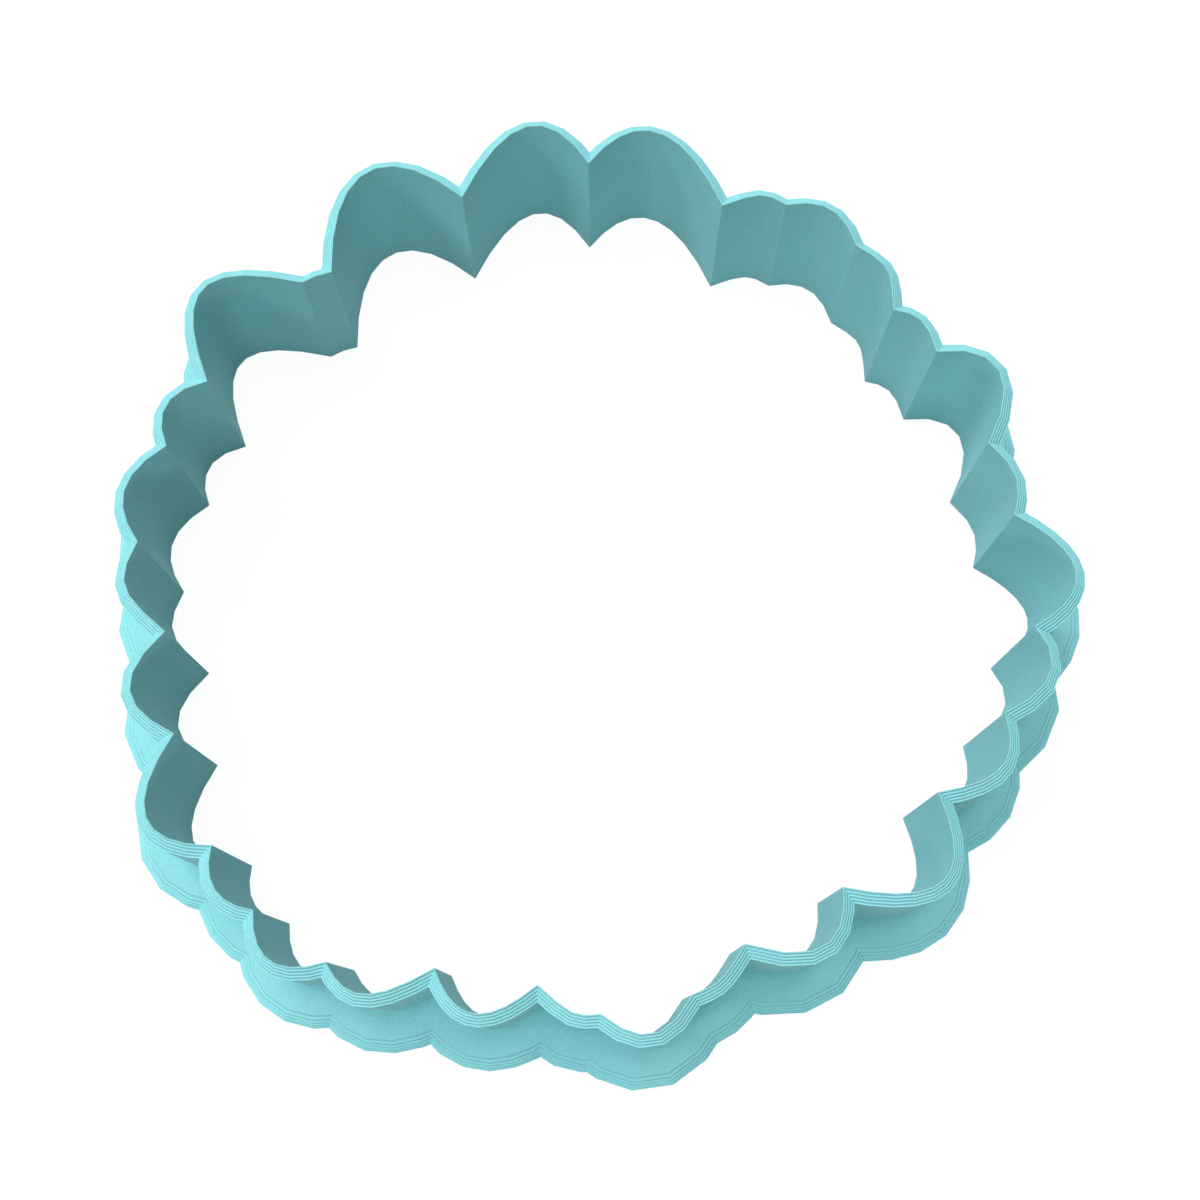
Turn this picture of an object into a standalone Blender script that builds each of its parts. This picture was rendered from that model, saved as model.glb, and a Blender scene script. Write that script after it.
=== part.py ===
"""Flower cookie cutter, printed in one piece and standing on its flange, cutting edge up.

The print is a stack of closed rings. All of them share one upright inner face, drawn as a
blossom of unlike petals, and each has that outline moved outward as its outer face.
"""
from itertools import pairwise
from math import radians

import bmesh
import bpy
from mathutils import Vector
from mathutils.geometry import interpolate_bezier, intersect_line_line_2d

# Driving dimensions, in metres. A reach is measured outward from the inner face, and each step
# of the flange's edge is EDGE_WIDENING times as wide as the one below it.
COOKIE_WIDTH = 0.089
CUTTER_HEIGHT = 0.0192
TIP_WIDTH = 0.0001
WALL_WIDTH = 0.00115
BLADE_STEPS = 4
BLADE_STEP_HEIGHT = 0.0003
FLANGE_REACH = 0.0051
FLANGE_BASE_HEIGHT = 0.0009
EDGE_STEPS = 5
EDGE_STEP_HEIGHT = 0.0003
EDGE_WIDTH = 0.00121
EDGE_WIDENING = 1.33

# The petals, clockwise from the right, drawn on a grid that is scaled to COOKIE_WIDTH. Each has
# the notch where it starts (x and y), the handle of its curve there and the one at the next notch
# (how far along the chord from that notch, and how far out), and its number of flats.
PETALS = (
    ((404, -70), (21, 38), (36, 34), 5),
    ((372, -151), (27, 40), (46, 37), 7),
    ((308, -224), (32, 79), (52, 75), 10),
    ((220, -309), (16, 33), (58, 61), 6),
    ((132, -359), (38, 10), (25, 10), 5),
    ((85, -403), (32, 38), (25, 30), 5),
    ((5, -420), (20, 12), (38, 12), 4),
    ((-51, -395), (40, 44), (25, 44), 9),
    ((-142, -381), (56, 36), (20, 33), 7),
    ((-238, -376), (28, 36), (24, 36), 7),
    ((-304, -331), (21, 24), (23, 25), 6),
    ((-344, -274), (24, 62), (48, 63), 8),
    ((-384, -173), (30, 46), (37, 51), 6),
    ((-398, -78), (49, 29), (31, 32), 5),
    ((-429, 8), (29, 33), (38, 37), 6),
    ((-408, 102), (20, 26), (28, 32), 5),
    ((-373, 167), (48, 90), (49, 93), 9),
    ((-287, 269), (8, 2), (10, 2), 2),
    ((-259, 280), (57, 99), (32, 96), 9),
    ((-134, 360), (66, 74), (22, 74), 8),
    ((-10, 397), (23, 70), (68, 74), 9),
    ((121, 352), (38, 14), (21, 14), 4),
    ((184, 353), (27, 25), (31, 27), 5),
    ((251, 310), (34, 20), (41, 19), 5),
    ((285, 243), (19, 14), (31, 17), 4),
    ((325, 200), (19, 58), (43, 60), 6),
    ((370, 108), (36, 21), (25, 15), 4),
    ((391, 37), (44, 61), (27, 64), 10),
)
WELD_DISTANCE = 0.000001
SMOOTH_ANGLE = radians(32)

TURQUOISE = (0.30, 0.77, 0.81, 1.0)
PLASTIC_ROUGHNESS = 0.6


def clear_scene():
    for thing in list(bpy.data.objects):
        bpy.data.objects.remove(thing)


def petal_points(petal, next_petal):
    """Points along one petal's curve as drawn, from its own notch to the next one."""
    notch, first_handle, second_handle, flats = petal
    start = Vector(notch)
    end = Vector(next_petal[0])
    along = (end - start).normalized()
    outward = along.orthogonal()
    rising = start + along * first_handle[0] + outward * first_handle[1]
    falling = end - along * second_handle[0] + outward * second_handle[1]
    return interpolate_bezier(start, rising, falling, end, flats + 1)


def inner_petals():
    """Every petal's points on the inner face, which is as wide as the cookie."""
    drawn = [petal_points(*pair) for pair in pairwise(PETALS + PETALS[:1])]
    across = [point.x for points in drawn for point in points]
    scale = COOKIE_WIDTH / (max(across) - min(across))
    return [[point * scale for point in points] for points in drawn]


def moved_outward(points, reach):
    """One petal's points moved outward by reach, with its corners mitred."""
    normals = [(b - a).normalized().orthogonal() for a, b in pairwise(points)]
    moved = [points[0] + normals[0] * reach]
    for point, before, after in zip(points[1:-1], normals, normals[1:]):
        moved.append(point + (before + after) * reach / (1.0 + before.dot(after)))
    moved.append(points[-1] + normals[-1] * reach)
    return moved


def next_exit(loop, side, spot):
    """The nearest side of the loop that crosses this one past the spot and leads outward."""
    end = loop[(side + 1) % len(loop)]
    exits = []
    for other, start in enumerate(loop):
        stop = loop[(other + 1) % len(loop)]
        leads_outward = (end - spot).cross(stop - start) > 0.0
        if not leads_outward or (other + 1) % len(loop) == side:
            continue
        place = intersect_line_line_2d(spot, end, start, stop)
        if place is not None:
            exits.append(((place - spot).length, other, place))
    return min(exits, default=None, key=lambda found: found[0])


def walk_outside(loop):
    """The outside of a clockwise loop, without the knots it ties where two petals meet."""
    first = max(range(len(loop)), key=lambda k: loop[k].length)
    outline = [loop[first]]
    side = first
    while True:
        found = next_exit(loop, side, outline[-1])
        if found is None:
            side = (side + 1) % len(loop)
            place = loop[side]
        else:
            _, side, place = found
        if side == first:
            return outline
        outline.append(place)


def blossom(reach):
    """The closed outline that lies this far outside the inner face."""
    if reach == 0.0:
        return [point for points in inner_petals() for point in points[:-1]]
    moved = [moved_outward(points, reach) for points in inner_petals()]
    return walk_outside([point for points in moved for point in points])


def middle_of(outline):
    """The centre of the box round an outline."""
    low = Vector((min(point.x for point in outline), min(point.y for point in outline)))
    high = Vector((max(point.x for point in outline), max(point.y for point in outline)))
    return (low + high) / 2


def plastic(name):
    """Matt turquoise print plastic."""
    material = bpy.data.materials.new(name)
    material.use_nodes = True
    shader = material.node_tree.nodes["Principled BSDF"]
    shader.inputs["Base Color"].default_value = TURQUOISE
    shader.inputs["Roughness"].default_value = PLASTIC_ROUGHNESS
    shader.inputs["Metallic"].default_value = 0.0
    material.diffuse_color = TURQUOISE
    return material


def drawn_ring(name, reach, height):
    """A flat curve with an outer and an inner outline, filled and given its height."""
    curve = bpy.data.curves.new(name, "CURVE")
    curve.dimensions = "2D"
    curve.fill_mode = "BOTH"
    curve.extrude = height / 2
    for outline in (blossom(reach), blossom(0.0)):
        spline = curve.splines.new("POLY")
        spline.points.add(len(outline) - 1)
        for point, place in zip(spline.points, outline):
            point.co = (place.x, place.y, 0.0, 1.0)
        spline.use_cyclic_u = True
    return bpy.data.objects.new(name, curve)


def solid_mesh(drawn, name):
    """The drawn curve as one welded mesh, smooth round the petals and sharp at the notches."""
    shape = drawn.evaluated_get(bpy.context.evaluated_depsgraph_get())
    mesh = bpy.data.meshes.new_from_object(shape)
    mesh.name = name
    work = bmesh.new()
    work.from_mesh(mesh)
    bmesh.ops.remove_doubles(work, verts=work.verts, dist=WELD_DISTANCE)
    bmesh.ops.recalc_face_normals(work, faces=work.faces)
    work.to_mesh(mesh)
    work.free()
    mesh.shade_smooth()
    mesh.set_sharp_from_angle(angle=SMOOTH_ANGLE)
    return mesh


def add_ring(name, reach, bottom, height, parts, carrier):
    """One printed ring with its underside at the given height above the table."""
    drawn = drawn_ring(name, reach, height)
    parts.objects.link(drawn)
    mesh = solid_mesh(drawn, name)
    bpy.data.objects.remove(drawn)
    mesh.materials.clear()
    mesh.materials.append(plastic(name + "_plastic"))
    ring = bpy.data.objects.new(name, mesh)
    parts.objects.link(ring)
    ring.parent = carrier
    ring.location.z = bottom + height / 2


def flange_rings():
    """The flange from the table up; its steps widen upward, so that its edge looks round."""
    rings = [("flange_base", FLANGE_REACH, FLANGE_BASE_HEIGHT)]
    widths = [EDGE_WIDENING ** step for step in range(EDGE_STEPS)]
    for step in range(1, EDGE_STEPS + 1):
        name = f"flange_edge_{step}" if step < EDGE_STEPS else "flange_top"
        drawn_in = EDGE_WIDTH * sum(widths[:step]) / sum(widths)
        rings.append((name, FLANGE_REACH - drawn_in, EDGE_STEP_HEIGHT))
    return rings


def blade_rings():
    """The blade above the plain wall, thinner by the same width at each step."""
    rings = []
    for step in range(1, BLADE_STEPS + 1):
        name = f"blade_step_{step}" if step < BLADE_STEPS else "blade_tip"
        drawn_in = (WALL_WIDTH - TIP_WIDTH) * step / BLADE_STEPS
        rings.append((name, WALL_WIDTH - drawn_in, BLADE_STEP_HEIGHT))
    return rings


def build():
    clear_scene()
    parts = bpy.data.collections.new("flower_cookie_cutter")
    bpy.context.scene.collection.children.link(parts)
    carrier = bpy.data.objects.new("cutter_middle", None)
    parts.objects.link(carrier)
    middle = middle_of(blossom(FLANGE_REACH))
    carrier.location = (-middle.x, -middle.y, 0.0)

    flange = flange_rings()
    blade = blade_rings()
    stepped_height = sum(height for _, _, height in flange + blade)
    wall = [("cutter_wall", WALL_WIDTH, CUTTER_HEIGHT - stepped_height)]
    bottom = 0.0
    for name, reach, height in flange + wall + blade:
        add_ring(name, reach, bottom, height, parts, carrier)
        bottom += height


build()
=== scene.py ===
"""Flower cookie cutter in turquoise printed plastic, seen from above on a white ground."""
from math import atan, cos, pi, radians, sin, sqrt

import bmesh
import bpy
from mathutils import Matrix, Vector


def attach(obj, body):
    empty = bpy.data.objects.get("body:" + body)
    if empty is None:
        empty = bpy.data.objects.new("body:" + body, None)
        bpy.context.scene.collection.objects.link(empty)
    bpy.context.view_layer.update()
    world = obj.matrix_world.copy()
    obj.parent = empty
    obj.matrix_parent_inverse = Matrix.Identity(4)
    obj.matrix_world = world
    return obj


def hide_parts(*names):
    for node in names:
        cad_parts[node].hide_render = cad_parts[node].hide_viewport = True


MM = 0.001

# The camera, from the upright edges and the outline of the cutter in the photograph. The side
# and the focus are in the photograph's pixels.
PHOTO_SIDE = 1200
CAMERA_FOCUS = 1775.86
CAMERA_PLACE = Vector((0.264 * MM, -44.381 * MM, 178.75 * MM))
CAMERA_TILT = radians(13.977)
CAMERA_ROLL = radians(0.2123)
NEAREST_SEEN = 0.01
FARTHEST_SEEN = 10.0

# The printed plastic. Grain and patches lighten and darken it by their tint to either side, and
# GRAIN_SQUEEZE in the pattern's height makes the grain taller than wide.
PLASTIC_COLOUR = (0.315, 0.76, 0.80)
PLASTIC_ROUGHNESS = 0.6
SPECULAR_LEVEL = 0.1
ROUGHNESS_SPREAD = 0.08
GRAIN_SIZE = 0.24 * MM
GRAIN_DETAIL = 2.0
GRAIN_DEPTH = 0.006 * MM
GRAIN_SQUEEZE = 0.45
GRAIN_TINT = 0.12
PATCH_SIZE = 7.0 * MM
PATCH_DETAIL = 3.0
PATCH_TINT = 0.03
LAYER_HEIGHT = 0.3 * MM
LAYER_DEPTH = 0.003 * MM

# The rings' meshes. Corners nearer than WELD are one, faces that turn by less than FLAT_TURN are
# one flat, and edges that turn by more than SMOOTH_TURN are sharp. The normal of an upright face
# rises or falls by less than UPRIGHT_RISE.
WELD = 0.001 * MM
FLAT_TURN = radians(0.5)
SMOOTH_TURN = radians(32)
UPRIGHT_RISE = 0.5

# How far the foot of a printed layer stands out from its rim, for the rings of one layer. A
# corner slips along a flat by no more than SLIP_SHARE of its length.
LAYER_FLARE = {
    "flange_edge_1": 0.04 * MM,
    "flange_edge_2": 0.04 * MM,
    "flange_edge_3": 0.07 * MM,
    "flange_edge_4": 0.13 * MM,
    "flange_top": 0.15 * MM,
    "blade_step_1": 0.13 * MM,
    "blade_step_2": 0.13 * MM,
    "blade_step_3": 0.13 * MM,
    "blade_tip": 0.13 * MM,
}
SLIP_SHARE = 0.25

# The studio. Each lamp has its azimuth from +X and its height above the floor, in degrees, and
# its strength.
LAMPS = {
    "overhead": (0, 90, 0.225),
    "key": (120, 60, 0.150),
    "key_above": (120, 75, 0.076),
    "key_left": (150, 60, 0.120),
    "key_right": (60, 75, 0.090),
    "left": (180, 45, 0.100),
    "front_left": (210, 45, 0.124),
    "rear_low": (150, 20, 0.080),
    "front_low": (270, 20, 0.105),
}
LAMP_SPREAD = radians(12)
WORLD_STRENGTH = 0.174

# The floor is a grey of FLOOR_TONE to the light. To the eye it is white, with FLOOR_LIT_SHARE of
# the lit grey mixed in, so that the cutter's shadow shows.
FLOOR_SIDE = 6.0
FLOOR_DROP = 0.05 * MM
FLOOR_TONE = 0.35
FLOOR_LIT_SHARE = 0.3
FLOOR_WHITE = 1.33


def add_camera():
    lens = bpy.data.cameras.new("photo_camera")
    lens.sensor_fit = "HORIZONTAL"
    lens.angle = 2.0 * atan(PHOTO_SIDE / 2 / CAMERA_FOCUS)
    lens.clip_start = NEAREST_SEEN
    lens.clip_end = FARTHEST_SEEN
    camera = bpy.data.objects.new("photo_camera", lens)
    turn = Matrix.Rotation(CAMERA_TILT, 4, "X") @ Matrix.Rotation(CAMERA_ROLL, 4, "Z")
    camera.matrix_world = Matrix.Translation(CAMERA_PLACE) @ turn
    bpy.context.scene.collection.objects.link(camera)
    bpy.context.scene.camera = camera


def add_lamps():
    for name, (azimuth, height, strength) in LAMPS.items():
        lamp = bpy.data.lights.new(name, "SUN")
        lamp.angle = LAMP_SPREAD
        lamp.energy = strength * pi
        holder = bpy.data.objects.new(name, lamp)
        flat = cos(radians(height))
        source = Vector((
            cos(radians(azimuth)) * flat,
            sin(radians(azimuth)) * flat,
            sin(radians(height)),
        ))
        holder.rotation_euler = source.to_track_quat("Z", "Y").to_euler()
        bpy.context.scene.collection.objects.link(holder)


def seen_directly(nodes, links):
    """One for what the camera sees directly, in a reflection or through glass, else nothing."""
    path = nodes.new("ShaderNodeLightPath")
    either = nodes.new("ShaderNodeMath")
    either.operation = "MAXIMUM"
    links.new(path.outputs["Is Camera Ray"], either.inputs[0])
    links.new(path.outputs["Is Glossy Ray"], either.inputs[1])
    any_of_three = nodes.new("ShaderNodeMath")
    any_of_three.operation = "MAXIMUM"
    links.new(either.outputs[0], any_of_three.inputs[0])
    links.new(path.outputs["Is Transmission Ray"], any_of_three.inputs[1])
    return any_of_three.outputs[0]


def add_world():
    world = bpy.data.worlds.new("studio")
    world.use_nodes = True
    nodes = world.node_tree.nodes
    links = world.node_tree.links
    strength = nodes.new("ShaderNodeMapRange")
    strength.inputs["To Min"].default_value = WORLD_STRENGTH
    strength.inputs["To Max"].default_value = 1.0
    links.new(seen_directly(nodes, links), strength.inputs["Value"])
    background = nodes["Background"]
    background.inputs["Color"].default_value = (1.0, 1.0, 1.0, 1.0)
    links.new(strength.outputs["Result"], background.inputs["Strength"])
    bpy.context.scene.world = world


def floor_material():
    """White to the eye, with a trace of the cutter's shadow, and grey to the light it returns."""
    material = bpy.data.materials.new("floor_white")
    material.use_nodes = True
    nodes = material.node_tree.nodes
    links = material.node_tree.links
    nodes.clear()
    lit = nodes.new("ShaderNodeBsdfDiffuse")
    lit.inputs["Color"].default_value = (FLOOR_TONE, FLOOR_TONE, FLOOR_TONE, 1.0)
    white = nodes.new("ShaderNodeEmission")
    white.inputs["Strength"].default_value = FLOOR_WHITE
    share = nodes.new("ShaderNodeMath")
    share.operation = "MULTIPLY"
    share.inputs[1].default_value = 1.0 - FLOOR_LIT_SHARE
    links.new(seen_directly(nodes, links), share.inputs[0])
    mixed = nodes.new("ShaderNodeMixShader")
    links.new(share.outputs[0], mixed.inputs["Fac"])
    links.new(lit.outputs[0], mixed.inputs[1])
    links.new(white.outputs[0], mixed.inputs[2])
    output = nodes.new("ShaderNodeOutputMaterial")
    links.new(mixed.outputs[0], output.inputs["Surface"])
    return material


def add_floor():
    mesh = bpy.data.meshes.new("floor")
    work = bmesh.new()
    bmesh.ops.create_grid(work, x_segments=1, y_segments=1, size=FLOOR_SIDE / 2)
    work.to_mesh(mesh)
    work.free()
    mesh.materials.append(floor_material())
    floor = bpy.data.objects.new("floor", mesh)
    floor.location.z = -FLOOR_DROP
    bpy.context.scene.collection.objects.link(floor)


def noise(nodes, links, place, size, detail):
    texture = nodes.new("ShaderNodeTexNoise")
    texture.inputs["Scale"].default_value = 1.0 / size
    texture.inputs["Detail"].default_value = detail
    links.new(place, texture.inputs["Vector"])
    return texture.outputs["Fac"]


def spread_round(nodes, links, pattern, middle, amount):
    """The pattern's noise as a value round the middle, up to the amount to either side."""
    spread = nodes.new("ShaderNodeMapRange")
    spread.inputs["To Min"].default_value = middle - amount
    spread.inputs["To Max"].default_value = middle + amount
    links.new(pattern, spread.inputs["Value"])
    return spread.outputs["Result"]


def print_colour(nodes, links, grain, patches):
    """The plastic's colour, lighter and darker with the grain and the patches."""
    brightness = nodes.new("ShaderNodeMath")
    brightness.operation = "MULTIPLY"
    links.new(spread_round(nodes, links, grain, 1.0, GRAIN_TINT), brightness.inputs[0])
    links.new(spread_round(nodes, links, patches, 1.0, PATCH_TINT), brightness.inputs[1])
    colour = nodes.new("ShaderNodeVectorMath")
    colour.operation = "SCALE"
    colour.inputs[0].default_value = PLASTIC_COLOUR
    links.new(brightness.outputs[0], colour.inputs["Scale"])
    return colour.outputs["Vector"]


def layer_relief(nodes, links, place):
    """The normal of a wall that is hollowed a little where two printed layers meet."""
    split = nodes.new("ShaderNodeSeparateXYZ")
    links.new(place, split.inputs["Vector"])
    turns = nodes.new("ShaderNodeMath")
    turns.operation = "MULTIPLY"
    turns.inputs[1].default_value = 2.0 * pi / LAYER_HEIGHT
    links.new(split.outputs["Z"], turns.inputs[0])
    layers = nodes.new("ShaderNodeMath")
    layers.operation = "COSINE"
    links.new(turns.outputs[0], layers.inputs[0])
    bump = nodes.new("ShaderNodeBump")
    bump.invert = True
    bump.inputs["Distance"].default_value = LAYER_DEPTH / 2
    links.new(layers.outputs[0], bump.inputs["Height"])
    return bump.outputs["Normal"]


def grain_relief(nodes, links, grain, normal):
    bump = nodes.new("ShaderNodeBump")
    bump.inputs["Distance"].default_value = GRAIN_DEPTH
    links.new(grain, bump.inputs["Height"])
    links.new(normal, bump.inputs["Normal"])
    return bump.outputs["Normal"]


def printed_plastic():
    """Matt turquoise plastic with a fine grain, faint patches and print layers."""
    material = bpy.data.materials.new("turquoise_print")
    material.use_nodes = True
    nodes = material.node_tree.nodes
    links = material.node_tree.links
    shader = nodes["Principled BSDF"]
    shader.inputs["Specular IOR Level"].default_value = SPECULAR_LEVEL

    place = nodes.new("ShaderNodeTexCoord").outputs["Object"]
    stretched = nodes.new("ShaderNodeMapping")
    stretched.inputs["Scale"].default_value = (1.0, 1.0, GRAIN_SQUEEZE)
    links.new(place, stretched.inputs["Vector"])
    grain = noise(nodes, links, stretched.outputs["Vector"], GRAIN_SIZE, GRAIN_DETAIL)
    patches = noise(nodes, links, place, PATCH_SIZE, PATCH_DETAIL)

    colour = print_colour(nodes, links, grain, patches)
    roughness = spread_round(nodes, links, patches, PLASTIC_ROUGHNESS, ROUGHNESS_SPREAD)
    normal = grain_relief(nodes, links, grain, layer_relief(nodes, links, place))
    links.new(colour, shader.inputs["Base Color"])
    links.new(roughness, shader.inputs["Roughness"])
    links.new(normal, shader.inputs["Normal"])
    return material


def is_upright(face):
    return abs(face.normal.z) < UPRIGHT_RISE


def outer_foot(work):
    """The corners round the foot of the outer face, in order."""
    foot = min(corner.co.z for corner in work.verts)
    low = set()
    for edge in work.edges:
        at_foot = all(corner.co.z < foot + WELD for corner in edge.verts)
        if at_foot and any(is_upright(face) for face in edge.link_faces):
            low.add(edge)
    ends = [corner for edge in low for corner in edge.verts]
    corners = [max(ends, key=lambda corner: corner.co.xy.length)]
    while True:
        ahead = low.intersection(corners[-1].link_edges)
        if not ahead:
            return corners[:-1]
        edge = ahead.pop()
        low.remove(edge)
        corners.append(edge.other_vert(corners[-1]))


def flare_foot(work, flare):
    """Moves the foot of the outer face outward, by less where its flats are short at a notch."""
    foot = outer_foot(work)
    moves = []
    for before, corner, after in zip(foot[-1:] + foot[:-1], foot, foot[1:] + foot[:1]):
        walls = [face.normal for face in corner.link_faces if is_upright(face)]
        mitre = (walls[0] + walls[-1]) / (1.0 + walls[0].dot(walls[-1]))
        slip = flare * sqrt(max(0.0, mitre.length_squared - 1.0))
        shortest = min((corner.co - before.co).length, (corner.co - after.co).length)
        share = min(1.0, SLIP_SHARE * shortest / (slip + WELD))
        moves.append((corner, mitre * flare * share))
    for corner, move in moves:
        corner.co += move


def shade_ring(work):
    """Smooth round the petals, sharp at the notches and at every level rim."""
    for face in work.faces:
        face.smooth = True
    for edge in work.edges:
        level = abs(edge.verts[0].co.z - edge.verts[1].co.z) < WELD
        edge.smooth = not level and edge.calc_face_angle(0.0) < SMOOTH_TURN


def printed_ring(node):
    """A ring's mesh with its flats joined up, its foot flared and its shading set."""
    work = bmesh.new()
    work.from_mesh(node.data)
    bmesh.ops.remove_doubles(work, verts=work.verts, dist=WELD)
    bmesh.ops.dissolve_limit(work, angle_limit=FLAT_TURN, verts=work.verts, edges=work.edges)
    bmesh.ops.recalc_face_normals(work, faces=work.faces)
    if node.name in LAYER_FLARE:
        flare_foot(work, LAYER_FLARE[node.name])
    shade_ring(work)
    mesh = bpy.data.meshes.new(node.name + "_print")
    work.to_mesh(mesh)
    work.free()
    mesh.attributes.remove(mesh.attributes["custom_normal"])
    return mesh


def dress(node, plastic):
    """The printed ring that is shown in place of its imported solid."""
    mesh = printed_ring(node)
    mesh.materials.append(plastic)
    ring = bpy.data.objects.new(node.name + "_print", mesh)
    bpy.context.scene.collection.objects.link(ring)
    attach(ring, "root")
    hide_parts(node.name)


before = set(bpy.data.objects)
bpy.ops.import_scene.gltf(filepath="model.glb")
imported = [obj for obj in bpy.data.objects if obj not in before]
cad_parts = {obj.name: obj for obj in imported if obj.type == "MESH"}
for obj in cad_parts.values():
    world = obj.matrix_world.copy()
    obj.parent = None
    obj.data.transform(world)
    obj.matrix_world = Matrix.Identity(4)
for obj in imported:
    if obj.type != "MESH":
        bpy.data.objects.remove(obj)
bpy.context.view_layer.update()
bpy.context.scene.view_settings.view_transform = "Standard"
add_camera()
add_world()
add_lamps()
add_floor()
plastic = printed_plastic()
for node in list(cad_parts.values()):
    dress(node, plastic)
